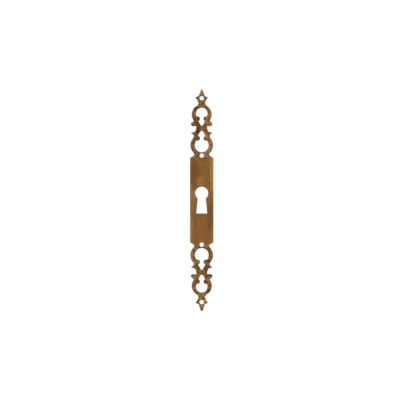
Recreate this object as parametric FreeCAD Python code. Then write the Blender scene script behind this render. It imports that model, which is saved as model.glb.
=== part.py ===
# Keyhole escutcheon for a cupboard or wardrobe door.
# One flat plate of brass, cut and pierced in one piece: a plain panel with the keyhole,
# and above and below it a pierced scroll that ends in a small crown and spear point.
# The plate stands upright as it is fixed: Z is up, the back lies in the plane Y = 0 and
# the front faces -Y. The origin is the middle of the back. All sizes are millimetres.
import FreeCAD, Part
import math
import os

# The sheet
plate_thickness = 1.5
front_edge_chamfer = 0.2
inner_corner_radius = 0.45
point_radius = 0.3

# The panel that carries the keyhole; the shoulders at its ends slope up to the rings
panel_width = 15.8
panel_side_length = 56.4
shoulder_corner_radius = 0.7
shoulder_slope = 31.0
shoulder_fillet_radius = 1.1

# The keyhole, its whole height centred on the panel
keyhole_height = 18.0
keyhole_round_diameter = 8.75
keyhole_slot_width = 4.7
keyhole_foot_width = 7.4
keyhole_foot_radius = 0.3

# Four screw holes on the middle line
screw_hole_diameter = 2.9
panel_hole_beyond_side = 1.95
crown_hole_above_neck = 3.6

# Large ring, next to the panel; both ring openings are cut a little taller than wide
ring_hole_web = 0.85
large_opening_width = 9.25
large_opening_height = 9.5
large_ring_diameter = 15.3

# Small ring, next to the crown; its opening sits off centre, towards the crown
ring_spacing = 20.75
small_ring_diameter = 13.6
small_opening_width = 7.7
small_opening_height = 8.0
small_opening_shift = 0.6

# The curls that close each ring and leave a gap between their ends
curl_radius = 1.65
curl_gap = 2.3
large_curl_rise = 4.65
small_curl_drop = 3.5

# The pointed opening over the large ring and the drop under the small one
arch_rise = 9.1
arch_slope = 59.3
arch_tip_radius = 0.75
drop_depth = 6.25
drop_slope = 63.0
drop_radius = 1.15

# The waist between the rings, with a round lobe and a thorn on each side
waist_width = 7.3
waist_corner_radius = 0.8
waist_hollow_radius = 2.05
waist_hollow_lean = 0.25
waist_hollow_depth = 2.15
lobe_radius = 1.38
lobe_reach = 7.28
lobe_depth = 6.6
lobe_slope = 40.0
lobe_swell = 0.25
thorn_reach = 7.6
thorn_rise = 8.2
thorn_root_width = 10.9
thorn_hollow_radius = 1.95

# Neck, crown and spear point; the lower spear point is filed blunter than the upper one
neck_width = 4.4
neck_fillet_radius = 2.8
neck_rise = 7.4
crown_width = 8.7
crown_rise = 4.15
crown_flank_radius = 8.7
crown_dip_width = 4.3
crown_dip_rise = 1.0
spear_rise = 9.65
upper_spear_tip_radius = 0.45
lower_spear_tip_radius = 0.9

# Stations along Z, each counted from the one below it
panel_end = panel_side_length / 2
panel_hole_z = panel_end + panel_hole_beyond_side
screw_hole_radius = screw_hole_diameter / 2
large_ring_z = panel_hole_z + screw_hole_radius + ring_hole_web + large_opening_height / 2
large_ring_radius = large_ring_diameter / 2
small_ring_z = large_ring_z + ring_spacing
small_ring_radius = small_ring_diameter / 2
small_opening_z = small_ring_z + small_opening_shift
neck_z = small_ring_z + neck_rise
crown_hole_z = neck_z + crown_hole_above_neck
crown_tip_z = neck_z + crown_rise
spear_tip_z = neck_z + spear_rise
lobe_z = small_ring_z - lobe_depth
stem_z = lobe_z - lobe_radius + lobe_swell
thorn_z = large_ring_z + thorn_rise


def at(x, z):
    """Point of the outline, in the plane of the back."""
    return FreeCAD.Vector(x, 0, z)


def disc(x, z, radius):
    """Round face of the outline."""
    circle = Part.makeCircle(radius, at(x, z), FreeCAD.Vector(0, -1, 0))
    return Part.Face(Part.Wire(circle))


def belt(*discs):
    """Face inside a tight belt round discs (x, z, radius), listed counter-clockwise.

    A radius of 0 is a plain corner."""
    leaving = []
    arriving = []
    count = len(discs)
    for i in range(count):
        x1, z1, r1 = discs[i]
        x2, z2, r2 = discs[(i + 1) % count]
        span = math.hypot(x2 - x1, z2 - z1)
        along = math.atan2(z2 - z1, x2 - x1)
        normal = along - math.acos((r1 - r2) / span)
        out_x, out_z = math.cos(normal), math.sin(normal)
        leaving.append((at(x1 + r1 * out_x, z1 + r1 * out_z), normal))
        arriving.append((at(x2 + r2 * out_x, z2 + r2 * out_z), normal))
    edges = []
    for i in range(count):
        x, z, radius = discs[i]
        start, start_angle = arriving[i - 1]
        end, end_angle = leaving[i]
        if radius > 0:
            turn = (end_angle - start_angle) % (2 * math.pi)
            middle = start_angle + turn / 2
            halfway = at(x + radius * math.cos(middle), z + radius * math.sin(middle))
            edges.append(Part.Arc(start, halfway, end).toShape())
        edges.append(Part.LineSegment(end, arriving[i][0]).toShape())
    return Part.Face(Part.Wire(edges))


def mirrored(face):
    """The face and its mirror image on the other side of the middle line."""
    return [face, face.mirror(at(0, 0), FreeCAD.Vector(1, 0, 0)).reversed()]


def joined(faces):
    """One face from faces that overlap in a chain, with the seams removed."""
    whole = faces[0]
    for face in faces[1:]:
        whole = whole.fuse(face).removeSplitter().Faces[0]
    return whole


def offset(face, distance):
    """Face grown by a distance, or shrunk by it where it is negative.

    Now and then an offset comes out empty. It succeeds on the same outline walked from another
    of its edges."""
    edges = face.OuterWire.OrderedEdges
    for first in range(len(edges)):
        walked = Part.Face(Part.Wire(edges[first:] + edges[:first]))
        try:
            return walked.makeOffset2D(distance).Faces[0]
        except ValueError:
            continue
    raise ValueError(f"no offset of {distance} mm")


def fill_corners(face, radius):
    """Rounds the inner corners of a face."""
    return offset(offset(face, radius), -radius)


def round_points(face, radius):
    """Rounds the outer corners of a face."""
    return offset(offset(face, -radius), radius)


def panel_outline():
    """Upper half of the panel; its end rises in two slopes to the large ring."""
    half = panel_width / 2
    x = half - shoulder_corner_radius
    slope = math.radians(shoulder_slope)
    ridge_z = panel_end + x * math.tan(slope) + shoulder_corner_radius / math.cos(slope)
    return belt((-half, 0, 0), (half, 0, 0), (x, panel_end, shoulder_corner_radius),
                (0, ridge_z, 0), (-x, panel_end, shoulder_corner_radius))


def lobe_outline():
    """Round lobe on the right, carried on a stem that slopes down from the small ring."""
    x = lobe_reach - lobe_radius
    slope = math.radians(lobe_slope)
    edge_x = x + lobe_radius * math.sin(slope)
    edge_z = lobe_z + lobe_radius * math.cos(slope)
    root_x = small_ring_radius / 2
    root_z = edge_z + (edge_x - root_x) * math.tan(slope)
    return belt((root_x, stem_z, 0), (x, lobe_z, lobe_radius), (root_x, root_z, 0))


def waist_outline():
    """Waist between the rings, with a thorn each side, hollowed above and below it."""
    root = thorn_root_width / 2
    far = thorn_reach + lobe_reach
    block = belt((-root, large_ring_z, 0), (root, large_ring_z, 0), (thorn_reach, thorn_z, 0),
                 (root, lobe_z, 0), (-root, lobe_z, 0), (-thorn_reach, thorn_z, 0))
    corner_x = waist_width / 2 + waist_corner_radius
    hollow_x = waist_width / 2 + waist_hollow_lean + waist_hollow_radius
    upper_hollow = belt((corner_x, stem_z - waist_corner_radius, waist_corner_radius),
                        (hollow_x, stem_z - waist_hollow_depth, waist_hollow_radius),
                        (thorn_reach, thorn_z, 0), (far, thorn_z, 0), (far, stem_z, 0))
    lower_hollow = disc(root + thorn_hollow_radius, thorn_z - thorn_hollow_radius - point_radius,
                        thorn_hollow_radius)
    cutters = mirrored(upper_hollow) + mirrored(lower_hollow)
    return block.cut(Part.Compound(cutters)).Faces[0]


def neck_outline():
    """Small ring with the neck on top of it, joined by a round fillet."""
    half = neck_width / 2
    strip = belt((-half, small_ring_z, 0), (half, small_ring_z, 0),
                 (half, neck_z + neck_fillet_radius, 0), (-half, neck_z + neck_fillet_radius, 0))
    ring = disc(0, small_ring_z, small_ring_radius)
    return fill_corners(joined([ring, strip]), neck_fillet_radius)


def crown_outline():
    """Crown over the neck: two side points with hollow flanks."""
    half = neck_width / 2
    tip_x = crown_width / 2
    dip_x = crown_dip_width / 2
    dip_z = crown_tip_z + crown_dip_rise
    chord = math.hypot(tip_x - half, crown_tip_z - neck_z)
    bow = math.sqrt(crown_flank_radius ** 2 - (chord / 2) ** 2)
    centre_x = (half + tip_x) / 2 + bow * (crown_tip_z - neck_z) / chord
    centre_z = (neck_z + crown_tip_z) / 2 - bow * (tip_x - half) / chord
    block = belt((-half, neck_z, 0), (half, neck_z, 0), (tip_x, neck_z, 0), (tip_x, crown_tip_z, 0),
                 (dip_x, dip_z, 0), (-dip_x, dip_z, 0), (-tip_x, crown_tip_z, 0), (-tip_x, neck_z, 0))
    flanks = mirrored(disc(centre_x, centre_z, crown_flank_radius))
    return block.cut(Part.Compound(flanks)).Faces[0]


def spear_outline(tip_radius):
    """Spear point that rises between the crown's side points."""
    dip_x = crown_dip_width / 2
    dip_z = crown_tip_z + crown_dip_rise
    return belt((-dip_x, crown_tip_z, 0), (dip_x, crown_tip_z, 0), (dip_x, dip_z, 0),
                (0, spear_tip_z - tip_radius, tip_radius), (-dip_x, dip_z, 0))


def eye(z, width, height):
    """Ring opening: two half circles with a short straight between them."""
    radius = width / 2
    reach = height / 2 - radius
    return belt((0, z - reach, radius), (0, z + reach, radius))


def window(opening, opening_z, curl_z, tip_z, tip_radius, slope):
    """A ring opening that runs out between two curls into an arm that narrows to its tip."""
    curl_x = curl_gap / 2 + curl_radius
    away = 1 if tip_z > curl_z else -1
    tilt = math.radians(slope)
    arm_half = tip_radius / math.sin(tilt) + abs(tip_z - curl_z) / math.tan(tilt)
    corners = [(curl_x, opening_z, 0), (arm_half, curl_z, 0), (0, tip_z, tip_radius),
               (-arm_half, curl_z, 0), (-curl_x, opening_z, 0)]
    curls = mirrored(disc(curl_x, curl_z, curl_radius))
    return joined([opening, belt(*corners[::away])]).cut(Part.Compound(curls)).Faces[0]


def keyhole():
    """Keyhole: a round eye over a slot that widens to its foot."""
    radius = keyhole_round_diameter / 2
    eye_z = keyhole_height / 2 - radius
    foot_z = -keyhole_height / 2
    half_top = keyhole_slot_width / 2
    half_foot = keyhole_foot_width / 2
    slot = belt((-half_foot, foot_z, 0), (half_foot, foot_z, 0),
                (half_top, eye_z, 0), (-half_top, eye_z, 0))
    return joined([disc(0, eye_z, radius), slot])


def pierced(opening, corner_radius):
    """An opening with its own corners rounded, and the points of metal between them."""
    return fill_corners(round_points(opening, corner_radius), point_radius)


def outline():
    """Outline of the whole plate with its corners and points rounded."""
    shoulders = joined([panel_outline(), disc(0, large_ring_z, large_ring_radius)])
    shoulders = fill_corners(shoulders, shoulder_fillet_radius)
    scroll = joined([shoulders, waist_outline()] + mirrored(lobe_outline())
                    + [neck_outline(), crown_outline()])
    upper = fill_corners(joined([scroll, spear_outline(upper_spear_tip_radius)]), inner_corner_radius)
    lower = fill_corners(joined([scroll, spear_outline(lower_spear_tip_radius)]), inner_corner_radius)
    lower = lower.mirror(at(0, 0), FreeCAD.Vector(0, 0, 1)).reversed()
    return round_points(joined([upper, lower]), point_radius)


def upper_openings():
    """Openings of the upper scroll: two ring windows and two screw holes."""
    large = window(eye(large_ring_z, large_opening_width, large_opening_height), large_ring_z,
                   large_ring_z + large_curl_rise, large_ring_z + arch_rise, arch_tip_radius, arch_slope)
    small = window(eye(small_opening_z, small_opening_width, small_opening_height), small_opening_z,
                   small_opening_z - small_curl_drop, small_ring_z - drop_depth, drop_radius, drop_slope)
    return [pierced(large, inner_corner_radius), pierced(small, inner_corner_radius),
            disc(0, panel_hole_z, screw_hole_radius), disc(0, crown_hole_z, screw_hole_radius)]


def plate_face():
    """The pierced face of the whole plate."""
    upper = upper_openings()
    lower = [face.mirror(at(0, 0), FreeCAD.Vector(0, 0, 1)) for face in upper]
    openings = upper + lower + [pierced(keyhole(), keyhole_foot_radius)]
    return outline().cut(Part.Compound(openings)).Faces[0]


def escutcheon_plate():
    """The plate cut from sheet, with its front edges eased and its back left flat."""
    plate = plate_face().extrude(FreeCAD.Vector(0, -plate_thickness, 0))
    front = [edge for edge in plate.Edges if edge.BoundBox.YMax < -plate_thickness / 2]
    return plate.makeChamfer(front_edge_chamfer, front).Solids[0]


if __name__ == "__main__":
    os.makedirs("parts", exist_ok=True)
    plate = escutcheon_plate()
    plate.exportStep("parts/escutcheon_plate.step")
    print("valid", plate.isValid(), "faces", len(plate.Faces), "volume", round(plate.Volume, 1))
    box = plate.BoundBox
    print("size", round(box.XLength, 3), round(box.YLength, 3), round(box.ZLength, 3))
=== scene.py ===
"""Looks of the keyhole escutcheon: an aged brass plate on a pale floor in soft studio light.

The plate's outline comes from the frame, so every edge lies where the solid has it. The flat
pattern is filled with a fine mesh, a geometry tree gives it its thickness, its rubbed edges and
its hand-finished surface, and one material gives it brushed, tarnished brass, with painted shade
along its openings and on its side walls and painted sheen and shade on its panel.
"""
import logging
import math
from collections.abc import Mapping, Sequence
from dataclasses import dataclass, field
from enum import Enum

import bmesh
import bpy
import numpy as np
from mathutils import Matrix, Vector, kdtree
from mathutils.geometry import delaunay_2d_cdt


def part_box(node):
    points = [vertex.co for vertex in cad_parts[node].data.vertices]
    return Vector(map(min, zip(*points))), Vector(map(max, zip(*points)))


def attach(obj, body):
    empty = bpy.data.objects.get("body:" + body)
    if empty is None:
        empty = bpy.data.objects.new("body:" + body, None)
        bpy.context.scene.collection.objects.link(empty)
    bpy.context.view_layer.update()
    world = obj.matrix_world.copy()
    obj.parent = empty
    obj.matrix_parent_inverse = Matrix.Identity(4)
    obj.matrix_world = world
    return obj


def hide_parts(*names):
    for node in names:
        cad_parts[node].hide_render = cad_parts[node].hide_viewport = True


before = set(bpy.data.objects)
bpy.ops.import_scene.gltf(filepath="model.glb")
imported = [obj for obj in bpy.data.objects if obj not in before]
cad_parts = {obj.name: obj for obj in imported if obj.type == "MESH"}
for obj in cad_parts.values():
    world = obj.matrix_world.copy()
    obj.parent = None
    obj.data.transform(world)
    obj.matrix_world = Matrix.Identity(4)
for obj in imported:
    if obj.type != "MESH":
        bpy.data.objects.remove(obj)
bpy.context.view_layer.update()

MM = 0.001
PLATE_NODE = "escutcheon_plate"
OPENING = "opening"
RIM_DISTANCE = "rim_distance"
OPENING_DISTANCE = "opening_distance"
NOISE_MIDDLE = 0.5
log = logging.getLogger("escutcheon")

Colour = tuple[float, float, float, float]
WHITE: Colour = (1.0, 1.0, 1.0, 1.0)


def srgb(red: int, green: int, blue: int) -> Colour:
    """Turns a colour as it looks on a screen into the linear colour of a shader.

    Args:
        red: red from 0 to 255.
        green: green from 0 to 255.
        blue: blue from 0 to 255.

    Returns:
        The linear colour with full alpha.
    """
    def linear(level: int) -> float:
        """One channel made linear."""
        share = level / 255
        return share / 12.92 if share <= 0.04045 else ((share + 0.055) / 1.055) ** 2.4

    return linear(red), linear(green), linear(blue), 1.0


class Tone(Enum):
    """Colours that brass of this age takes on, also laid as painted sheen and shade."""

    BRASS = srgb(128, 87, 43)
    TAN = srgb(150, 113, 70)
    WORN = srgb(178, 138, 84)
    OLD_GOLD = srgb(158, 116, 58)
    MUSTARD = srgb(134, 102, 34)
    OLIVE = srgb(98, 84, 44)
    GREY_OLIVE = srgb(92, 86, 60)
    RED_BROWN = srgb(116, 66, 38)
    UMBER = srgb(106, 70, 34)
    RUST = srgb(92, 54, 32)
    ORANGE = srgb(156, 94, 42)
    DARK_BROWN = srgb(70, 46, 20)
    BLACK_BROWN = srgb(34, 26, 14)


class Field:
    """A number or colour that varies over a surface, written like a Python number."""

    def __init__(self, graph: "Graph", socket: bpy.types.NodeSocket) -> None:
        """Wraps one output socket of a node tree."""
        self.graph = graph
        self.socket = socket

    def _math(self, operation: str, *values: "Field | float") -> "Field":
        """Adds one Math node on the given values."""
        return self.graph.field("ShaderNodeMath", {"operation": operation}, dict(enumerate(values)))

    def __add__(self, other: "Field | float") -> "Field":
        """self + other."""
        return self._math("ADD", self, other)

    __radd__ = __add__

    def __sub__(self, other: "Field | float") -> "Field":
        """self - other."""
        return self._math("SUBTRACT", self, other)

    def __rsub__(self, other: float) -> "Field":
        """other - self."""
        return self._math("SUBTRACT", other, self)

    def __mul__(self, other: "Field | float") -> "Field":
        """self * other."""
        return self._math("MULTIPLY", self, other)

    __rmul__ = __mul__

    def __truediv__(self, other: "Field | float") -> "Field":
        """self / other."""
        return self._math("DIVIDE", self, other)

    def root(self) -> "Field":
        """Square root, and 0 below 0."""
        return self._math("SQRT", self._math("MAXIMUM", self, 0.0))

    def size(self) -> "Field":
        """Value without its sign."""
        return self._math("ABSOLUTE", self)

    def at_least(self, other: "Field | float") -> "Field":
        """The larger of the two."""
        return self._math("MAXIMUM", self, other)

    def between(self, low: float, high: float) -> "Field":
        """Low where this is 0, high where it is 1."""
        return low + self * (high - low)

    def step(self, low: float, high: float) -> "Field":
        """Rises smoothly from 0 at low to 1 at high, or falls where low is the larger.

        Args:
            low: value that gives 0.
            high: value that gives 1.

        Returns:
            The smooth step, from 0 to 1.
        """
        settings = {"interpolation_type": "SMOOTHSTEP", "clamp": True}
        start, end = (0.0, 1.0) if low <= high else (1.0, 0.0)
        inputs = {"Value": self, "From Min": min(low, high), "From Max": max(low, high),
                  "To Min": start, "To Max": end}
        return self.graph.field("ShaderNodeMapRange", settings, inputs)


class Graph:
    """A node tree that is being written."""

    def __init__(self, tree: bpy.types.NodeTree) -> None:
        """Starts on a tree."""
        self.tree = tree

    def node(self, kind: str, settings: Mapping[str, object] | None = None,
             inputs: Mapping[str | int, object] | None = None) -> bpy.types.Node:
        """Adds a node, sets it and feeds it.

        Args:
            kind: the node's type.
            settings: the node's own settings, set first.
            inputs: for each input, by name, identifier or place, a value, a Field or a socket.

        Returns:
            The node.
        """
        made = self.tree.nodes.new(kind)
        for name, value in (settings or {}).items():
            setattr(made, name, value)
        for key, value in (inputs or {}).items():
            target = self._input(made, key)
            if isinstance(value, Field):
                self.tree.links.new(value.socket, target)
            elif isinstance(value, bpy.types.NodeSocket):
                self.tree.links.new(value, target)
            else:
                target.default_value = value
        return made

    def field(self, kind: str, settings: Mapping[str, object] | None = None,
              inputs: Mapping[str | int, object] | None = None, output: str | int = 0) -> Field:
        """Adds a node and returns one of its outputs as a Field."""
        return self.out(self.node(kind, settings, inputs), output)

    def out(self, made: bpy.types.Node, output: str | int) -> Field:
        """Finds one output of a node.

        Args:
            made: the node.
            output: the output's name, identifier or place.

        Returns:
            The output as a Field.
        """
        if isinstance(output, int):
            return Field(self, made.outputs[output])
        for socket in made.outputs:
            if socket.enabled and output in (socket.identifier, socket.name):
                return Field(self, socket)
        raise KeyError(f"{made.bl_idname} has no output {output}")

    def blend(self, share: Field | float, low: Field | Colour, high: Field | Colour) -> Field:
        """Mixes two colours.

        Args:
            share: 0 gives the low colour and 1 the high colour.
            low: first colour.
            high: second colour.

        Returns:
            The mixed colour.
        """
        settings = {"data_type": "RGBA", "blend_type": "MIX", "clamp_factor": True}
        inputs = {"Factor_Float": share, "A_Color": low, "B_Color": high}
        return self.field("ShaderNodeMix", settings, inputs, "Result_Color")

    @staticmethod
    def _input(made: bpy.types.Node, key: str | int) -> bpy.types.NodeSocket:
        """Finds one input of a node.

        Args:
            made: the node.
            key: the input's place, identifier or name.

        Returns:
            The input's socket.
        """
        if isinstance(key, int):
            return made.inputs[key]
        for socket in made.inputs:
            if key == socket.identifier:
                return socket
        for socket in made.inputs:
            if socket.enabled and key == socket.name:
                return socket
        raise KeyError(f"{made.bl_idname} has no input {key}")


@dataclass
class PlateOutline:
    """The plate's outer outline and its openings, read from the flat back of its solid.

    Points closer than weld are one, and an edge longer than straight_from is a straight side.
    The arcs get points at most step apart, between which they turn by at most turn.
    """

    solid: bpy.types.Object
    weld: float = 0.0005 * MM
    straight_from: float = 1.5 * MM
    step: float = 0.35 * MM
    turn: float = math.radians(9)

    def loops(self) -> list[np.ndarray]:
        """Reads the loops and follows their arcs.

        Returns:
            One array of (x, z) points for each loop, the outer one first. Metal lies to the
            left along every loop, seen from the front.
        """
        loops = sorted(self._rough_loops(), key=lambda loop: -abs(self.area(loop)))
        turned = []
        for place, loop in enumerate(loops):
            outer = place == 0
            if (self.area(loop) > 0) != outer:
                loop = loop[::-1]
            turned.append(self._follow_arcs(loop))
        return turned

    @staticmethod
    def area(loop: np.ndarray) -> float:
        """Signed area of a loop, positive where it runs counter-clockwise."""
        after = np.roll(loop, -1, axis=0)
        return float((loop[:, 0] * after[:, 1] - loop[:, 1] * after[:, 0]).sum() / 2)

    def _rough_loops(self) -> list[np.ndarray]:
        """Chains the edges that bound the flat back.

        Returns:
            One array of (x, z) points for each loop, in any order and direction.
        """
        shell = bmesh.new()
        shell.from_mesh(self.solid.data)
        shell.transform(self.solid.matrix_world)
        bmesh.ops.remove_doubles(shell, verts=shell.verts, dist=self.weld)
        back = max(vertex.co.y for vertex in shell.verts)
        flat = {face for face in shell.faces if all(back - v.co.y < self.weld for v in face.verts)}
        neighbours: dict[int, list[int]] = {}
        for edge in shell.edges:
            if sum(face in flat for face in edge.link_faces) == 1:
                first, second = (vertex.index for vertex in edge.verts)
                neighbours.setdefault(first, []).append(second)
                neighbours.setdefault(second, []).append(first)
        place = {vertex.index: (vertex.co.x, vertex.co.z) for vertex in shell.verts}
        shell.free()
        loops = []
        while neighbours:
            start = next(iter(neighbours))
            chain = [start]
            onward = neighbours.pop(start)[0]
            while onward != start:
                chain.append(onward)
                near, far = neighbours.pop(onward)
                onward = far if near == chain[-2] else near
            loops.append(np.array([place[index] for index in chain]))
        return loops

    def _follow_arcs(self, loop: np.ndarray) -> np.ndarray:
        """Fills a loop of chords with points on the arcs that they cut across.

        Args:
            loop: (x, z) points on the true outline.

        Returns:
            The same loop with more points, evenly spaced along it.
        """
        chord = np.roll(loop, -1, axis=0) - loop
        length = np.linalg.norm(chord, axis=1)
        heading = chord / length[:, None]
        heading_before = np.roll(heading, 1, axis=0)
        length_before = np.roll(length, 1)
        tangent = heading * length_before[:, None] + heading_before * length[:, None]
        straight = length > self.straight_from
        after_line = np.roll(straight, 1)
        tangent[after_line] = heading_before[after_line]
        tangent[straight] = heading[straight]
        tangent /= np.linalg.norm(tangent, axis=1)[:, None]
        points = []
        for i, start in enumerate(loop):
            j = (i + 1) % len(loop)
            bend = math.acos(float(np.clip(tangent[i] @ tangent[j], -1, 1)))
            count = max(math.ceil(length[i] / self.step), math.ceil(bend / self.turn))
            share = (np.arange(count) / count)[:, None]
            leave = tangent[i] * length[i]
            arrive = tangent[j] * length[i]
            if straight[i]:
                leave = arrive = chord[i]
            # A cubic that meets both ends at their tangents
            points.append(start * (1 - 3 * share ** 2 + 2 * share ** 3)
                          + loop[j] * (3 * share ** 2 - 2 * share ** 3)
                          + leave * (share - 2 * share ** 2 + share ** 3)
                          + arrive * (share ** 3 - share ** 2))
        return np.concatenate(points)


@dataclass
class PlatePattern:
    """Flat pattern of the plate: close rows of points along every edge, triangles between them.

    The rows fill rim_width along each edge. The triangles stand on a grid with the given
    spacing, which keeps clear_of_rim away from the rows.
    """

    loops: list[np.ndarray]
    rim_width: float
    rim_rows: int = 6
    spacing: float = 0.62 * MM
    clear_of_rim: float = 0.3 * MM
    points: list[tuple[float, float]] = field(default_factory=list)
    faces: list[tuple[int, ...]] = field(default_factory=list)

    WHOLE_HULL = 0
    NEARNESS = 1e-5

    def build(self, name: str) -> bpy.types.Mesh:
        """Makes the flat mesh, in the plane of the plate's back.

        Args:
            name: name of the mesh.

        Returns:
            The mesh, facing the front.
        """
        inner = [self._rim(loop) for loop in self.loops]
        rim_points = len(self.points)
        self._fill(inner)
        mesh = bpy.data.meshes.new(name)
        mesh.from_pydata([(x, 0.0, z) for x, z in self.points], [], self.faces)
        mesh.update()
        outer_points = len(self.loops[0]) * self.rim_rows
        marks = mesh.attributes.new(OPENING, "BOOLEAN", "POINT")
        places = range(len(self.points))
        marks.data.foreach_set("value", [outer_points <= place < rim_points for place in places])
        return mesh

    def _rim(self, loop: np.ndarray) -> list[int]:
        """Lays rows of points from an edge inwards, closer together towards the edge.

        Args:
            loop: the edge, with metal on its left.

        Returns:
            The places of the innermost row in the list of points.
        """
        along = np.roll(loop, -1, axis=0) - np.roll(loop, 1, axis=0)
        along /= np.linalg.norm(along, axis=1)[:, None]
        inward = np.stack([-along[:, 1], along[:, 0]], axis=1)
        count = len(loop)
        first = len(self.points)
        for row in range(self.rim_rows):
            angle = math.pi / 2 * row / (self.rim_rows - 1)
            depth = self.rim_width * (1 - math.cos(angle))
            self.points.extend(map(tuple, loop + inward * depth))
        for row in range(self.rim_rows - 1):
            outer = first + row * count
            for i in range(count):
                j = (i + 1) % count
                self.faces.append((outer + i, outer + j, outer + count + j, outer + count + i))
        last = first + (self.rim_rows - 1) * count
        return list(range(last, last + count))

    def _fill(self, inner: list[list[int]]) -> None:
        """Fills the metal between the innermost rows with even triangles.

        Args:
            inner: places of each innermost row in the list of points.
        """
        rows = [np.array([self.points[index] for index in row]) for row in inner]
        places = [index for row in inner for index in row]
        bounds = []
        start = 0
        for row in inner:
            bounds += [(start + i, start + (i + 1) % len(row)) for i in range(len(row))]
            start += len(row)
        grid = self._grid(rows)
        places += range(len(self.points), len(self.points) + len(grid))
        self.points.extend(map(tuple, grid))
        flat = [Vector(point) for point in np.concatenate(rows + [grid]) / MM]
        corners, _, triangles, sources, _, _ = delaunay_2d_cdt(
            flat, bounds, [], self.WHOLE_HULL, self.NEARNESS)
        middles = np.array([sum((corners[i] for i in triangle), Vector((0, 0))) / 3
                            for triangle in triangles]) * MM
        inside = self._inside(middles, rows)
        for keep, triangle in zip(inside, triangles):
            if keep:
                self.faces.append(tuple(places[sources[i][0]] for i in triangle))

    def _grid(self, rows: list[np.ndarray]) -> np.ndarray:
        """Lays evenly spaced points on the metal, clear of its rims.

        Args:
            rows: points of each innermost row, the outer one first.

        Returns:
            The (x, z) points.
        """
        low = rows[0].min(axis=0)
        high = rows[0].max(axis=0)
        pitch = self.spacing * math.sqrt(3) / 2
        lines = []
        for k, z in enumerate(np.arange(low[1], high[1], pitch)):
            x = np.arange(low[0] + self.spacing / 2 * (k % 2), high[0], self.spacing)
            lines.append(np.stack([x, np.full(len(x), z)], axis=1))
        grid = np.concatenate(lines)
        grid = grid[self._inside(grid, rows)]
        tree = kdtree.KDTree(sum(len(row) for row in rows))
        for index, (x, z) in enumerate(np.concatenate(rows)):
            tree.insert((x, 0, z), index)
        tree.balance()
        clear = [tree.find((x, 0, z))[2] > self.clear_of_rim for x, z in grid]
        return grid[np.array(clear)]

    @staticmethod
    def _inside(spots: np.ndarray, rows: list[np.ndarray]) -> np.ndarray:
        """Tells which spots lie on the metal, by how often a line to their right crosses its edge.

        Args:
            spots: (x, z) points.
            rows: closed rows of points that bound the metal.

        Returns:
            True for each spot on the metal.
        """
        crossings = np.zeros(len(spots), dtype=int)
        x, z = spots[:, 0], spots[:, 1]
        for row in rows:
            for (x1, z1), (x2, z2) in zip(row, np.roll(row, -1, axis=0)):
                if z1 != z2:
                    level = (z1 > z) != (z2 > z)
                    crossings += level & (x < x1 + (z - z1) * (x2 - x1) / (z2 - z1))
        return crossings % 2 == 1


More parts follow.
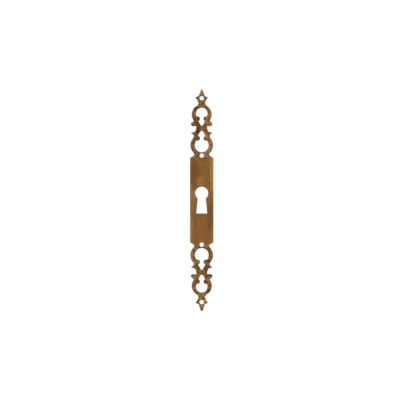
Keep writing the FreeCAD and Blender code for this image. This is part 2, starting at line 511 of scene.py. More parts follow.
@dataclass
class HandFinish:
    """Geometry tree that turns the flat pattern into the plate.

    The distance of every point from the nearest edge shapes the rubbed rims and the softly
    rounded bands of the scrolls. The panel falls towards its edges by only panel_fall of what
    the bands do. The face has the faint waviness that filing and polishing by hand leave, which
    grows over calm_rims times the radius of the front rim. A point within slack of an edge
    counts as on it, and points closer than weld are merged.
    """

    thickness: float
    scrolls_from: float
    front_radius: float = 0.25 * MM
    back_radius: float = 0.05 * MM
    band_reach: float = 1.3 * MM
    band_fall: float = 0.13 * MM
    panel_fall: float = 0.3
    waviness: float = 0.03 * MM
    wave_scale: float = 160.0
    wave_levels: tuple[float, float] = (0.3, 0.7)
    calm_rims: float = 8.0
    seed: int = 4
    slack: float = 0.001 * MM
    weld: float = 0.0005 * MM

    SIZES = ("Thickness", "Scrolls From", "Front Rim Radius", "Back Rim Radius", "Band Reach",
             "Band Fall", "Waviness", "Wave Scale")

    def apply(self, pattern: bpy.types.Object, material: bpy.types.Material) -> bpy.types.Mesh:
        """Runs the tree on the pattern.

        Args:
            pattern: object with the flat mesh.
            material: the finish of the plate.

        Returns:
            The finished mesh.
        """
        tree = self._tree()
        pattern.data.materials.append(material)
        modifier = pattern.modifiers.new("hand_finish", "NODES")
        modifier.node_group = tree
        sizes = (self.thickness, self.scrolls_from, self.front_radius, self.back_radius,
                 self.band_reach, self.band_fall, self.waviness, self.wave_scale)
        wanted = dict(zip(self.SIZES, sizes)) | {"Seed": self.seed, "Brass": material}
        for item in tree.interface.items_tree:
            if item.in_out == "INPUT" and item.name in wanted:
                modifier[item.identifier] = wanted[item.name]
        ready = pattern.evaluated_get(bpy.context.evaluated_depsgraph_get())
        mesh = bpy.data.meshes.new_from_object(ready)
        pattern.modifiers.remove(modifier)
        return mesh

    def _tree(self) -> bpy.types.NodeTree:
        """Writes the tree.

        Returns:
            The tree, with a named input for each size, the seed and the material.
        """
        tree = bpy.data.node_groups.new("hand_finish", "GeometryNodeTree")
        sockets = [("Plate", "OUTPUT", "Geometry"), ("Pattern", "INPUT", "Geometry")]
        sockets += [(name, "INPUT", "Float") for name in self.SIZES]
        sockets += [("Seed", "INPUT", "Int"), ("Brass", "INPUT", "Material")]
        for name, way, kind in sockets:
            tree.interface.new_socket(name, in_out=way, socket_type=f"NodeSocket{kind}")
        graph = Graph(tree)
        given = graph.node("NodeGroupInput")
        (thickness, scrolls_from, front_radius, back_radius, band_reach, band_fall, waviness,
         wave_scale) = (graph.out(given, name) for name in self.SIZES)
        neighbours = graph.field("GeometryNodeInputMeshEdgeNeighbors")
        open_edge = graph.field("FunctionNodeCompare", {"data_type": "INT", "operation": "EQUAL"},
                                {"A_INT": neighbours, "B_INT": 1})
        opening = graph.field("GeometryNodeInputNamedAttribute", {"data_type": "BOOLEAN"},
                              {"Name": OPENING}, "Attribute")
        opening_edge = graph.field("FunctionNodeBooleanMath", {"operation": "AND"},
                                   {0: open_edge, 1: opening})
        pattern = graph.out(given, "Pattern")
        measured = self._measured(graph, pattern, open_edge, RIM_DISTANCE)
        measured = self._measured(graph, measured, opening_edge, OPENING_DISTANCE)
        distance = graph.field("GeometryNodeInputNamedAttribute", {"data_type": "FLOAT"},
                               {"Name": RIM_DISTANCE}, "Attribute")
        distance = (distance - self.slack).at_least(0.0)
        place = graph.field("GeometryNodeInputPosition")
        along = graph.field("ShaderNodeSeparateXYZ", None, {"Vector": place}, "Z").size()
        scroll = ((along - scrolls_from) / band_reach).step(0.0, 1.0)
        wave = graph.field("ShaderNodeTexNoise", {"noise_dimensions": "4D"},
                           {"Vector": place, "W": graph.out(given, "Seed"), "Scale": wave_scale,
                            "Detail": 1.0})
        inland = ((distance - front_radius) / (front_radius * self.calm_rims)).step(0.0, 1.0)
        slope = ((band_reach - distance) / band_reach).at_least(0.0)
        front_y = (self._sink(distance, front_radius) - thickness
                   + slope * slope * band_fall * scroll.between(self.panel_fall, 1.0)
                   + wave.step(*self.wave_levels) * waviness * inland)
        front = self._laid(graph, measured, front_y)
        drawn = graph.node("GeometryNodeExtrudeMesh", {"mode": "EDGES"},
                           {"Mesh": front, "Selection": open_edge, "Offset Scale": 0.0})
        walled = self._laid(graph, graph.out(drawn, "Mesh"), back_radius * -1.0,
                            graph.out(drawn, "Top"))
        turned = graph.field("GeometryNodeFlipFaces", None, {"Mesh": measured})
        back = self._laid(graph, turned, self._sink(distance, back_radius) * -1.0)
        both = graph.node("GeometryNodeJoinGeometry")
        for shell in (walled, back):
            tree.links.new(shell.socket, both.inputs["Geometry"])
        closed = graph.field("GeometryNodeMergeByDistance", None,
                             {"Geometry": both.outputs[0], "Distance": self.weld})
        smooth = graph.field("GeometryNodeSetShadeSmooth", None, {"Geometry": closed})
        real = graph.field("GeometryNodeRealizeInstances", None, {"Geometry": smooth})
        dressed = graph.field("GeometryNodeSetMaterial", None,
                              {"Geometry": real, "Material": given.outputs["Brass"]})
        graph.node("NodeGroupOutput", None, {"Plate": dressed})
        return tree

    @staticmethod
    def _sink(distance: Field, radius: Field) -> Field:
        """How far a rounded rim lies below the face, by the distance from the edge."""
        inside = (radius - distance).at_least(0.0)
        return radius - (radius * radius - inside * inside).root()

    @staticmethod
    def _measured(graph: Graph, shell: Field, edges: Field, name: str) -> Field:
        """Stores every point's distance from the nearest of some edges.

        Args:
            graph: the tree's graph.
            shell: the flat pattern.
            edges: which edges count.
            name: name of the attribute that keeps the distance.

        Returns:
            The pattern with the attribute.
        """
        line = graph.field("GeometryNodeMeshToCurve", None, {"Mesh": shell, "Selection": edges})
        wire = graph.field("GeometryNodeCurveToMesh", None, {"Curve": line})
        near = graph.field("GeometryNodeProximity", {"target_element": "EDGES"},
                           {"Geometry": wire}, "Distance")
        return graph.field("GeometryNodeStoreNamedAttribute", {"data_type": "FLOAT"},
                           {"Geometry": shell, "Name": name, "Value": near})

    @staticmethod
    def _laid(graph: Graph, shell: Field, level: Field, which: Field | bool = True) -> Field:
        """Moves points of a shell to a level of Y.

        Args:
            graph: the tree's graph.
            shell: the shell.
            level: where the points go.
            which: which points move.

        Returns:
            The moved shell.
        """
        place = graph.field("GeometryNodeInputPosition")
        split = graph.node("ShaderNodeSeparateXYZ", None, {"Vector": place})
        spot = graph.field("ShaderNodeCombineXYZ", None,
                           {"X": split.outputs["X"], "Y": level, "Z": split.outputs["Z"]})
        return graph.field("GeometryNodeSetPosition", None,
                           {"Geometry": shell, "Selection": which, "Position": spot})


@dataclass(frozen=True)
class Patch:
    """A soft-edged patch of colour on the front, with its middle and half sizes in millimetres:
    tarnish for most, painted sheen and shade for a few on the panel.

    Its reach is 0 in the middle and 1 at the half sizes, and blotches move it about by FRAY.
    """

    tone: Tone
    x: float
    z: float
    half_width: float
    half_height: float
    share: float

    FRAY = 1.6
    OUTER_REACH = 1.3
    FULL_REACH = 0.1

    def cover(self, x: Field, z: Field, fray: Field) -> Field:
        """How much of the metal the patch covers.

        Args:
            x: place across the plate.
            z: place along the plate.
            fray: soft blotches that break up the patch's edge.

        Returns:
            The cover, from 0 outside the patch to its share in the middle.
        """
        across = (x - self.x * MM) / (self.half_width * MM)
        along = (z - self.z * MM) / (self.half_height * MM)
        reach = across * across + along * along + (fray - NOISE_MIDDLE) * self.FRAY
        return reach.step(self.OUTER_REACH, self.FULL_REACH) * self.share


@dataclass(frozen=True)
class Scratch:
    """A fine lengthwise scratch, with its middle, length and half width in millimetres."""

    tone: Tone
    x: float
    z: float
    length: float
    half_width: float
    lean: float
    share: float

    def cover(self, x: Field, z: Field) -> Field:
        """How much of the metal the scratch covers.

        Args:
            x: place across the plate.
            z: place along the plate.

        Returns:
            The cover, from 0 beside the scratch to its share along its middle.
        """
        along = z - self.z * MM
        across = (x - self.x * MM - along * self.lean).size()
        ends = along.size().step(self.length / 2 * MM, self.length / 4 * MM)
        return across.step(self.half_width * MM, 0.0) * ends * self.share


@dataclass(frozen=True)
class Stain:
    """A tone that a noise lays: none at its bare level, and the full share at its full level."""

    tone: Tone
    bare: float
    full: float
    share: float


@dataclass(frozen=True)
class Blotches:
    """Soft noise with blotches of about one size, and the stains that it lays."""

    size: float
    detail: float
    seed: float
    stains: tuple[Stain, ...]

    def noise(self, graph: Graph, place: Field) -> Field:
        """Adds the noise.

        Args:
            graph: the material's graph.
            place: place on the plate.

        Returns:
            The noise, from 0 to 1.
        """
        return graph.field("ShaderNodeTexNoise", {"noise_dimensions": "4D"},
                           {"Vector": place, "W": self.seed, "Scale": 1 / self.size,
                            "Detail": self.detail})


@dataclass(frozen=True)
class Strokes:
    """Noise drawn out along the plate, as brushing leaves it, and the stains that it lays."""

    width: float
    length: float
    detail: float
    stains: tuple[Stain, ...]

    def noise(self, graph: Graph, place: Field) -> Field:
        """Adds the noise.

        Args:
            graph: the material's graph.
            place: place on the plate.

        Returns:
            The noise, from 0 to 1.
        """
        scale = (1 / self.width, 1 / self.width, 1 / self.length)
        drawn = graph.field("ShaderNodeMapping", None, {"Vector": place, "Scale": scale})
        return graph.field("ShaderNodeTexNoise", None,
                           {"Vector": drawn, "Scale": 1.0, "Detail": self.detail})


@dataclass(frozen=True)
class AgedBrass:
    """Old brass, brushed lengthwise and left to tarnish, with painted shade along its openings and
    on its side walls and painted sheen and shade on its panel.

    A pair of levels says where a noise starts to count and where it counts in full. Shares run
    from 0 to 1, and one that is named for the panel or the scrolls holds only there.
    """

    name: str = "aged_brass"
    roughness: float = 0.42
    metallic: float = 0.9
    scrolls_from: float = 28.2 * MM
    scroll_fade: float = 3.0 * MM
    back_to: float = -0.6 * MM
    front_from: float = -1.2 * MM

    # How far each kind of wear, dirt and painted shade reaches, and the share of the metal that it
    # covers
    scroll_brushing: float = 0.4
    panel_tarnish: float = 0.12
    panel_pits: float = 0.1
    back_tarnish: float = 0.3
    scroll_wear: float = 0.25
    edge_reach: float = 1.7 * MM
    edge_full: float = 0.3 * MM
    panel_edge_wear: float = 0.2
    scroll_edge_wear: float = 0.5
    # Painted shade and tarnish on the side walls
    wall_reach: float = 0.012 * MM
    wall_shade_and_tarnish: float = 0.5
    # Dirt and painted shade along the edges of the openings
    grime_and_shade_reach: float = 0.9 * MM
    grime_and_shade_levels: tuple[float, float] = (0.45, 0.7)
    least_grime_and_shade: float = 0.06
    most_grime_and_shade: float = 0.46
    panel_grime_and_shade: float = 0.3

    # What the blotches, the brushing, the dirt and the side walls do to the surface
    mottle_roughness: float = 0.25
    brush_roughness: float = 0.15
    grime_roughness: float = 0.3
    wall_roughness: float = 0.15
    grime_dulling: float = 0.6
    brush_relief: float = 0.6
    mottle_relief: float = 0.5
    grime_relief: float = 0.5
    pit_levels: tuple[float, float] = (0.64, 0.74)
    bump_strength: float = 0.5
    bump_height: float = 0.012 * MM

    streaks: Strokes = Strokes(1.1 * MM, 26.0 * MM, 2.0, (
        Stain(Tone.DARK_BROWN, 0.5, 0.75, 0.25), Stain(Tone.OLD_GOLD, 0.48, 0.25, 0.25)))
    brushing: Strokes = Strokes(0.16 * MM, 9.0 * MM, 3.0, (
        Stain(Tone.DARK_BROWN, 0.5, 0.8, 0.26), Stain(Tone.OLD_GOLD, 0.5, 0.2, 0.22)))
    mottling: Blotches = Blotches(2.4 * MM, 3.0, 1.0, (
        Stain(Tone.RED_BROWN, 0.5, 0.62, 0.5), Stain(Tone.OLIVE, 0.52, 0.4, 0.7)))
    clouds: Blotches = Blotches(1.4 * MM, 2.0, 2.0, (Stain(Tone.DARK_BROWN, 0.5, 0.6, 0.75),))
    flecks: Blotches = Blotches(1.4 * MM, 2.0, 3.0, (Stain(Tone.WORN, 0.5, 0.62, 0.55),))
    spots: Blotches = Blotches(1.4 * MM, 1.0, 7.0, (
        Stain(Tone.DARK_BROWN, 0.5, 0.62, 0.5), Stain(Tone.WORN, 0.47, 0.36, 0.32)))
    specks: Blotches = Blotches(0.7 * MM, 2.0, 5.0, (Stain(Tone.DARK_BROWN, 0.54, 0.66, 0.3),))

    PATCHES = (
        # The panel
        # Painted shade: the upper left of the panel darker, as a slightly twisted plate would look
        Patch(Tone.UMBER, -5.0, 18.6, 4.2, 11.5, 0.85),
        # Painted sheen: the upper right of the panel lighter
        Patch(Tone.OLD_GOLD, 7.2, 18.4, 2.3, 13.5, 0.8),
        Patch(Tone.TAN, -0.8, 12.6, 3.6, 3.6, 0.4),
        Patch(Tone.RED_BROWN, 5.4, 11.6, 1.1, 1.9, 0.5),
        Patch(Tone.TAN, -5.8, 3.0, 1.8, 4.6, 0.45),
        Patch(Tone.ORANGE, -5.8, -4.2, 0.9, 4.2, 0.5),
        Patch(Tone.UMBER, -0.6, -15.5, 6.5, 9.0, 0.2),
        # Painted shade: the lower right of the panel darker
        Patch(Tone.UMBER, 6.4, -10.0, 3.2, 10.5, 0.75),
        Patch(Tone.OLIVE, -1.2, -10.2, 7.0, 1.4, 0.5),
        # Painted sheen: the lower left of the panel lighter
        Patch(Tone.TAN, -7.4, -19.0, 1.8, 10.5, 0.6),
        Patch(Tone.MUSTARD, 6.2, -27.9, 1.7, 1.3, 0.8),
        # The upper large ring
        Patch(Tone.DARK_BROWN, -2.6, 30.4, 2.6, 1.7, 0.6),
        Patch(Tone.DARK_BROWN, 1.2, 28.3, 3.2, 1.0, 0.5),
        Patch(Tone.OLIVE, -4.6, 32.8, 2.0, 1.8, 0.7),
        Patch(Tone.GREY_OLIVE, -6.9, 36.2, 1.6, 3.4, 0.75),
        Patch(Tone.RED_BROWN, -5.6, 39.3, 1.4, 1.8, 0.95),
        Patch(Tone.DARK_BROWN, -3.2, 41.9, 2.4, 1.5, 0.75),
        Patch(Tone.TAN, 6.1, 36.8, 1.8, 4.6, 0.45),
        Patch(Tone.MUSTARD, 5.8, 33.4, 1.4, 1.2, 0.6),
        Patch(Tone.OLIVE, 4.6, 41.0, 1.8, 1.8, 0.4),
        Patch(Tone.OLD_GOLD, 3.5, 42.5, 1.8, 1.3, 0.5),
        # The upper waist
        Patch(Tone.OLIVE, -5.8, 45.0, 2.0, 1.3, 1.0),
        Patch(Tone.DARK_BROWN, -5.6, 45.0, 1.8, 1.2, 0.55),
        Patch(Tone.OLIVE, 5.8, 45.0, 2.0, 1.3, 0.6),
        Patch(Tone.DARK_BROWN, -3.0, 49.2, 2.2, 4.8, 0.8),
        Patch(Tone.BLACK_BROWN, -2.8, 47.2, 1.3, 2.2, 0.65),
        Patch(Tone.BLACK_BROWN, -3.8, 51.2, 1.2, 1.8, 0.5),
        Patch(Tone.RED_BROWN, 3.2, 47.2, 1.8, 2.8, 0.75),
        Patch(Tone.UMBER, 1.1, 48.2, 1.1, 1.1, 0.9),
        Patch(Tone.DARK_BROWN, 2.1, 50.6, 1.2, 2.6, 0.65),
        Patch(Tone.OLIVE, -0.5, 49.4, 1.2, 1.4, 0.9),
        Patch(Tone.BLACK_BROWN, -0.7, 49.8, 1.2, 0.9, 0.6),
        Patch(Tone.UMBER, -3.8, 52.6, 2.0, 2.2, 0.9),
        Patch(Tone.MUSTARD, 3.5, 53.0, 1.6, 1.4, 0.85),
        Patch(Tone.OLD_GOLD, 6.1, 51.4, 1.8, 1.3, 0.6),
        Patch(Tone.GREY_OLIVE, -6.7, 51.1, 1.9, 1.5, 0.9),
        # The upper small ring
        Patch(Tone.DARK_BROWN, -5.0, 54.2, 1.7, 1.3, 0.8),
        Patch(Tone.BLACK_BROWN, -3.2, 55.2, 1.7, 1.5, 0.75),
        Patch(Tone.TAN, 3.7, 55.6, 1.4, 1.1, 0.5),
        Patch(Tone.DARK_BROWN, 1.9, 55.2, 1.0, 1.2, 0.75),
        Patch(Tone.RED_BROWN, -5.7, 58.5, 1.5, 3.0, 0.5),
        Patch(Tone.TAN, 5.9, 57.4, 1.4, 3.4, 0.35),
        Patch(Tone.UMBER, 3.6, 61.2, 0.9, 1.9, 0.6),
        Patch(Tone.DARK_BROWN, -3.9, 61.6, 2.5, 2.0, 0.9),
        # The upper neck, crown and point
        Patch(Tone.RED_BROWN, -0.6, 64.3, 2.7, 1.7, 0.6),
        Patch(Tone.ORANGE, 0.7, 64.8, 1.4, 1.7, 0.2),
        Patch(Tone.GREY_OLIVE, -1.9, 67.6, 1.7, 2.1, 0.85),
        Patch(Tone.TAN, 3.4, 69.3, 1.4, 1.0, 0.6),
        Patch(Tone.BLACK_BROWN, -3.7, 69.4, 1.3, 1.0, 1.0),
        Patch(Tone.OLD_GOLD, -0.1, 71.8, 1.1, 1.4, 0.5),
        Patch(Tone.TAN, 0.1, 74.3, 1.2, 1.6, 0.75),
        Patch(Tone.GREY_OLIVE, 0.0, 74.5, 1.0, 1.1, 0.35),
        # The lower large ring
        Patch(Tone.RED_BROWN, -3.9, -30.0, 1.6, 1.9, 0.5),
        Patch(Tone.UMBER, -4.9, -32.5, 1.2, 1.2, 0.35),
        Patch(Tone.TAN, -6.4, -36.8, 1.4, 3.6, 0.4),
        Patch(Tone.UMBER, -5.1, -36.4, 1.0, 4.4, 0.6),
        Patch(Tone.RUST, 4.9, -35.6, 1.0, 2.6, 0.5),
        Patch(Tone.DARK_BROWN, 5.8, -33.3, 1.3, 1.3, 0.3),
        Patch(Tone.GREY_OLIVE, 6.9, -38.0, 1.5, 3.8, 0.7),
        Patch(Tone.DARK_BROWN, 4.7, -41.1, 1.8, 1.8, 0.65),
        Patch(Tone.TAN, -3.2, -41.4, 1.8, 1.3, 0.5),
        Patch(Tone.OLIVE, 2.3, -41.6, 1.0, 1.2, 0.7),
        # The lower waist
        Patch(Tone.OLIVE, -5.6, -45.0, 1.9, 1.1, 0.95),
        Patch(Tone.OLIVE, -3.1, -46.4, 1.7, 3.4, 0.85),
        Patch(Tone.BLACK_BROWN, -2.0, -45.6, 0.8, 2.2, 0.6),
        Patch(Tone.UMBER, 5.4, -45.0, 2.0, 1.2, 0.95),
        Patch(Tone.MUSTARD, -2.8, -50.2, 1.2, 1.4, 0.6),
        Patch(Tone.RUST, 2.8, -46.6, 1.7, 3.0, 0.85),
        Patch(Tone.RED_BROWN, 0.0, -48.8, 2.1, 1.5, 0.6),
        Patch(Tone.GREY_OLIVE, -6.8, -51.2, 1.2, 1.0, 0.6),
        Patch(Tone.MUSTARD, -5.0, -51.2, 1.6, 1.2, 0.5),
        Patch(Tone.RUST, 3.5, -51.6, 1.6, 1.8, 0.75),
        Patch(Tone.OLIVE, 6.3, -51.2, 1.7, 1.3, 0.9),
        # The lower small ring
        Patch(Tone.RUST, -3.3, -54.6, 2.0, 1.9, 0.8),
        Patch(Tone.BLACK_BROWN, 2.9, -55.4, 1.3, 1.4, 0.7),
        Patch(Tone.UMBER, -6.0, -57.2, 1.5, 3.4, 0.45),
        Patch(Tone.MUSTARD, -5.6, -60.4, 1.1, 1.0, 0.7),
        Patch(Tone.RED_BROWN, 5.0, -56.6, 1.3, 3.0, 0.7),
        Patch(Tone.DARK_BROWN, 6.5, -57.4, 0.8, 2.2, 0.6),
        Patch(Tone.BLACK_BROWN, 4.5, -61.1, 1.7, 1.6, 0.7),
        Patch(Tone.OLIVE, -3.8, -61.8, 1.8, 1.4, 0.6),
        # The lower neck, crown and point
        Patch(Tone.MUSTARD, -1.0, -64.2, 1.7, 1.3, 0.6),
        Patch(Tone.GREY_OLIVE, -3.1, -68.6, 1.8, 1.5, 0.95),
        Patch(Tone.BLACK_BROWN, -4.0, -69.4, 0.9, 0.8, 0.3),
        Patch(Tone.MUSTARD, 2.9, -69.0, 1.4, 1.3, 0.6),
        Patch(Tone.TAN, 0.0, -72.0, 1.2, 1.4, 0.6),
        Patch(Tone.DARK_BROWN, 0.0, -74.2, 1.0, 1.0, 0.6),
    )
    SCRATCHES = (
        Scratch(Tone.BLACK_BROWN, 4.9, -18.8, 6.5, 0.2, 0.0, 0.6),
        Scratch(Tone.DARK_BROWN, -4.9, 21.0, 15.0, 0.3, 0.01, 0.3),
        Scratch(Tone.OLD_GOLD, 1.9, 19.0, 8.0, 0.35, 0.02, 0.7),
        Scratch(Tone.OLD_GOLD, 3.6, 18.4, 9.0, 0.3, 0.01, 0.7),
        Scratch(Tone.DARK_BROWN, 2.8, 18.8, 8.5, 0.35, 0.02, 0.6),
        Scratch(Tone.DARK_BROWN, 4.5, 18.0, 9.0, 0.3, 0.01, 0.5),
        Scratch(Tone.OLD_GOLD, -2.4, -17.0, 13.0, 0.4, -0.01, 0.3),
        Scratch(Tone.OLD_GOLD, 5.6, 23.0, 8.0, 0.2, 0.0, 0.35),
    )

    def build(self) -> bpy.types.Material:
        """Makes the material.

        Returns:
            The material with its nodes.
        """
        material = bpy.data.materials.new(self.name)
        material.use_nodes = True
        material.node_tree.nodes.clear()
        graph = Graph(material.node_tree)
        place = graph.field("ShaderNodeTexCoord", None, None, "Object")
        split = graph.node("ShaderNodeSeparateXYZ", None, {"Vector": place})
        x, y, z = (Field(graph, socket) for socket in split.outputs)
        mottle = self.mottling.noise(graph, place)
        brush = self.brushing.noise(graph, place)
        specks = self.specks.noise(graph, place)
        front = y.step(self.back_to, self.front_from)
        scroll = z.size().step(self.scrolls_from, self.scrolls_from + self.scroll_fade)

        colour = self._tarnish(graph, place, scroll, brush, mottle)
        backed = graph.blend(self.back_tarnish, colour, Tone.DARK_BROWN.value)
        for patch in self.PATCHES:
            colour = graph.blend(patch.cover(x, z, mottle), colour, patch.tone.value)
        for scratch in self.SCRATCHES:
            colour = graph.blend(scratch.cover(x, z), colour, scratch.tone.value)
        colour = graph.blend(front, backed, colour)
        pitted = scroll.between(self.panel_pits, 1.0)
        colour = self._stained(colour, self.spots, self.spots.noise(graph, place), pitted)
        colour = self._stained(colour, self.specks, specks, pitted)
        # Painted shade on the side walls, darker than the face as soft light would leave them,
        # together with tarnish on their unpolished metal
        wall = self._distance(graph, RIM_DISTANCE).step(self.wall_reach, 0.0)
        colour = graph.blend(wall * self.wall_shade_and_tarnish, colour, Tone.DARK_BROWN.value)
        # Dirt and painted shade darken the metal along the edges of the openings
        grime_and_shade = self._grime_and_shade(graph, mottle) * scroll.between(self.panel_grime_and_shade, 1.0)
        colour = graph.blend(grime_and_shade, colour, Tone.BLACK_BROWN.value)

        blotch = mottle - NOISE_MIDDLE
        stroke = brush - NOISE_MIDDLE
        rough = (self.roughness + blotch * self.mottle_roughness + stroke * self.brush_roughness
                 + grime_and_shade * self.grime_roughness + wall * self.wall_roughness)
        height = (stroke * self.brush_relief - specks.step(*self.pit_levels)
                  + blotch * self.mottle_relief - grime_and_shade * self.grime_relief)
        bump = graph.field("ShaderNodeBump", None,
                           {"Height": height, "Strength": self.bump_strength,
                            "Distance": self.bump_height}, "Normal")
        metal = self.metallic - grime_and_shade * self.grime_dulling
        shader = graph.node("ShaderNodeBsdfPrincipled", None,
                            {"Base Color": colour, "Roughness": rough, "Metallic": metal,
                             "Normal": bump})
        graph.node("ShaderNodeOutputMaterial", None, {"Surface": shader.outputs["BSDF"]})
        return material

    def _tarnish(self, graph: Graph, place: Field, scroll: Field, brush: Field,
                 mottle: Field) -> Field:
        """Colours the metal all over: lengthwise streaks, and blotches, mostly on the scrolls.

        Args:
            graph: the material's graph.
            place: place on the plate.
            scroll: 1 on the pierced scrolls and 0 on the panel.
            brush: fine lengthwise brushing.
            mottle: soft blotches.

        Returns:
            The colour.
        """
        plain = scroll.between(1.0, self.scroll_brushing)
        patchy = scroll.between(self.panel_tarnish, 1.0)
        streak = self.streaks.noise(graph, place)
        colour = self._stained(Tone.BRASS.value, self.streaks, streak, plain)
        colour = self._stained(colour, self.brushing, brush, plain)
        rubbed = self._distance(graph, RIM_DISTANCE).step(self.edge_reach, self.edge_full)
        worn = (scroll * self.scroll_wear
                + rubbed * scroll.between(self.panel_edge_wear, self.scroll_edge_wear))
        colour = graph.blend(worn, colour, Tone.TAN.value)
        colour = self._stained(colour, self.mottling, mottle, patchy)
        for layer in (self.clouds, self.flecks):
            colour = self._stained(colour, layer, layer.noise(graph, place), patchy)
        return colour

    @staticmethod
    def _stained(colour: Field | Colour, layer: Blotches | Strokes, noise: Field,
                 reach: Field) -> Field:
        """Lays all the stains of one noise.

        Args:
            colour: the colour below.
            layer: the noise's settings, with its stains.
            noise: the noise itself.
            reach: how much of the stains each part of the plate takes.

        Returns:
            The stained colour.
        """
        for stain in layer.stains:
            cover = noise.step(stain.bare, stain.full) * stain.share * reach
            colour = noise.graph.blend(cover, colour, stain.tone.value)
        return colour

    def _grime_and_shade(self, graph: Graph, mottle: Field) -> Field:
        """Lays dirt and painted shade along the edges of the openings, where a polishing cloth
        leaves dirt.

        Args:
            graph: the material's graph.
            mottle: soft blotches that make the dirt and the painted shade uneven.

        Returns:
            The cover of dirt, from 0 to 1.
        """
        near = self._distance(graph, OPENING_DISTANCE).step(self.grime_and_shade_reach, 0.0)
        return near * mottle.step(*self.grime_and_shade_levels).between(self.least_grime_and_shade, self.most_grime_and_shade)

    @staticmethod
    def _distance(graph: Graph, name: str) -> Field:
        """Distance from the nearest edge of a kind, kept by the geometry tree."""
        return graph.field("ShaderNodeAttribute", {"attribute_name": name}, None, "Fac")


@dataclass
class EscutcheonPlate:
    """The plate: one piece of pierced brass."""

    name: str = "pierced_plate"
    body: str = "root"
    finish: AgedBrass = AgedBrass()

    def build(self) -> bpy.types.Object:
        """Makes the plate and sets it in the frame in place of its plain solid.

        Returns:
            The plate's object.
        """
        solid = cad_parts[PLATE_NODE]
        low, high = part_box(PLATE_NODE)
        hand = HandFinish(thickness=high[1] - low[1], scrolls_from=self.finish.scrolls_from)
        loops = PlateOutline(solid).loops()
        pattern = PlatePattern(loops, hand.front_radius).build("plate_pattern")
        plate = bpy.data.objects.new(self.name, pattern)
        bpy.context.scene.collection.objects.link(plate)
        plate.data = hand.apply(plate, self.finish.build())
        plate.data.name = self.name
        bpy.data.meshes.remove(pattern)
        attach(plate, self.body)
        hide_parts(PLATE_NODE)
        return plate


@dataclass(frozen=True)
class Softbox:
    """A square soft light that looks at the plate."""

    name: str
    place: tuple[float, float, float]
    width: float
    watts: float

    def build(self) -> None:
        """Adds the light."""
        light = bpy.data.lights.new(self.name, "AREA")
        light.size = self.width
        light.energy = self.watts
        place_lamp(light, self.place)


@dataclass(frozen=True)
class Daylight:
    """Even light from a wide patch of sky, the same all over the floor."""

    name: str
    place: tuple[float, float, float]
    spread: float
    strength: float

    def build(self) -> None:
        """Adds the light."""
        light = bpy.data.lights.new(self.name, "SUN")
        light.angle = self.spread
        light.energy = self.strength
        place_lamp(light, self.place)


def place_lamp(light: bpy.types.Light, place: tuple[float, float, float]) -> None:
    """Puts a light in its place, turned towards the plate.

    Args:
        light: the light.
        place: where it stands.
    """
    lamp = bpy.data.objects.new(light.name, light)
    lamp.location = place
    lamp.rotation_euler = (-Vector(place)).to_track_quat("-Z", "Y").to_euler()
    bpy.context.scene.collection.objects.link(lamp)


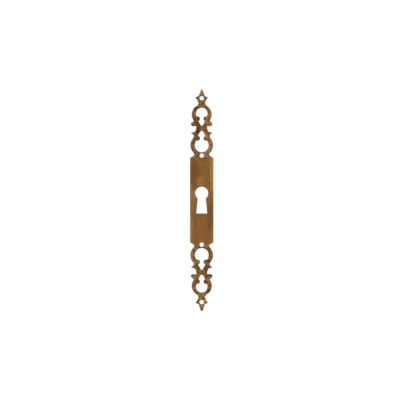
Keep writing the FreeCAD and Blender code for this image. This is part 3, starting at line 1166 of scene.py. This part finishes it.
@dataclass
class Studio:
    """Pale floor, white surroundings, soft lamps and the camera."""

    floor_drop: float = 160.0 * MM
    floor_width: float = 60.0
    floor_paint: float = 0.9
    floor_lift: float = 0.22
    ambient: float = 0.72
    lens: float = 100.0
    sensor: float = 36.0
    sight: float = 100.0
    field_height: float = 270.9 * MM
    plate_right_of_centre: float = 1.18 * MM
    plate_below_centre: float = 0.09 * MM
    lamps: Sequence[Softbox | Daylight] = (
        Daylight("window", (-0.5, -0.6, 0.9), math.radians(40), 0.6),
        Softbox("key", (-0.25, -0.9, 0.35), 0.35, 0.8),
        Softbox("fill", (0.5, -0.8, -0.1), 0.4, 0.5),
        Softbox("back", (0.3, 0.8, 0.5), 0.5, 1.5),
    )

    def build(self) -> None:
        """Builds everything round the plate."""
        for lamp in self.lamps:
            lamp.build()
        self._surroundings()
        self._floor()
        self._camera()

    @staticmethod
    def _seen(graph: Graph) -> Field:
        """1 for the camera and in reflections and glass, 0 for light that falls on things."""
        path = graph.node("ShaderNodeLightPath")
        return (graph.out(path, "Is Camera Ray").at_least(graph.out(path, "Is Glossy Ray"))
                .at_least(graph.out(path, "Is Transmission Ray")))

    def _surroundings(self) -> None:
        """Makes the world white to the eye and plain as a light."""
        world = bpy.data.worlds.new("studio")
        world.use_nodes = True
        world.node_tree.nodes.clear()
        graph = Graph(world.node_tree)
        strength = self._seen(graph) * (1.0 - self.ambient) + self.ambient
        glow = graph.node("ShaderNodeBackground", None, {"Color": WHITE, "Strength": strength})
        graph.node("ShaderNodeOutputWorld", None, {"Surface": glow.outputs[0]})
        bpy.context.scene.world = world

    def _floor(self) -> None:
        """Lays the pale floor below the plate; it keeps a soft shadow."""
        half = self.floor_width / 2
        level = -self.floor_drop
        mesh = bpy.data.meshes.new("floor")
        mesh.from_pydata([(-half, -half, level), (half, -half, level), (half, half, level),
                          (-half, half, level)], [], [(0, 1, 2, 3)])
        floor = bpy.data.objects.new("floor", mesh)
        bpy.context.scene.collection.objects.link(floor)
        material = bpy.data.materials.new("pale_floor")
        material.use_nodes = True
        material.node_tree.nodes.clear()
        graph = Graph(material.node_tree)
        paint = (self.floor_paint,) * 3 + (1.0,)
        matt = graph.node("ShaderNodeBsdfDiffuse", None, {"Color": paint})
        lift = graph.node("ShaderNodeEmission", None,
                          {"Color": WHITE, "Strength": self._seen(graph) * self.floor_lift})
        both = graph.node("ShaderNodeAddShader", None, {0: matt.outputs[0], 1: lift.outputs[0]})
        graph.node("ShaderNodeOutputMaterial", None, {"Surface": both.outputs[0]})
        mesh.materials.append(material)

    def _camera(self) -> None:
        """Sets the camera square to the plate, framed as in the photograph."""
        data = bpy.data.cameras.new("camera")
        data.lens = self.lens
        data.sensor_width = self.sensor
        data.clip_end = self.sight
        camera = bpy.data.objects.new("camera", data)
        distance = self.field_height * self.lens / self.sensor
        camera.location = (-self.plate_right_of_centre, -distance, self.plate_below_centre)
        camera.rotation_euler = (math.pi / 2, 0, 0)
        bpy.context.scene.collection.objects.link(camera)
        bpy.context.scene.camera = camera


def main() -> None:
    """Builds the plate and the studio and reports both."""
    logging.basicConfig(level=logging.INFO, format="%(name)s: %(message)s")
    bpy.context.scene.view_settings.view_transform = "Standard"
    plate = EscutcheonPlate().build()
    log.info("%s: %d faces", plate.name, len(plate.data.polygons))
    studio = Studio()
    studio.build()
    log.info("studio: %d lamps, floor and camera", len(studio.lamps))


if __name__ == "__main__":
    main()
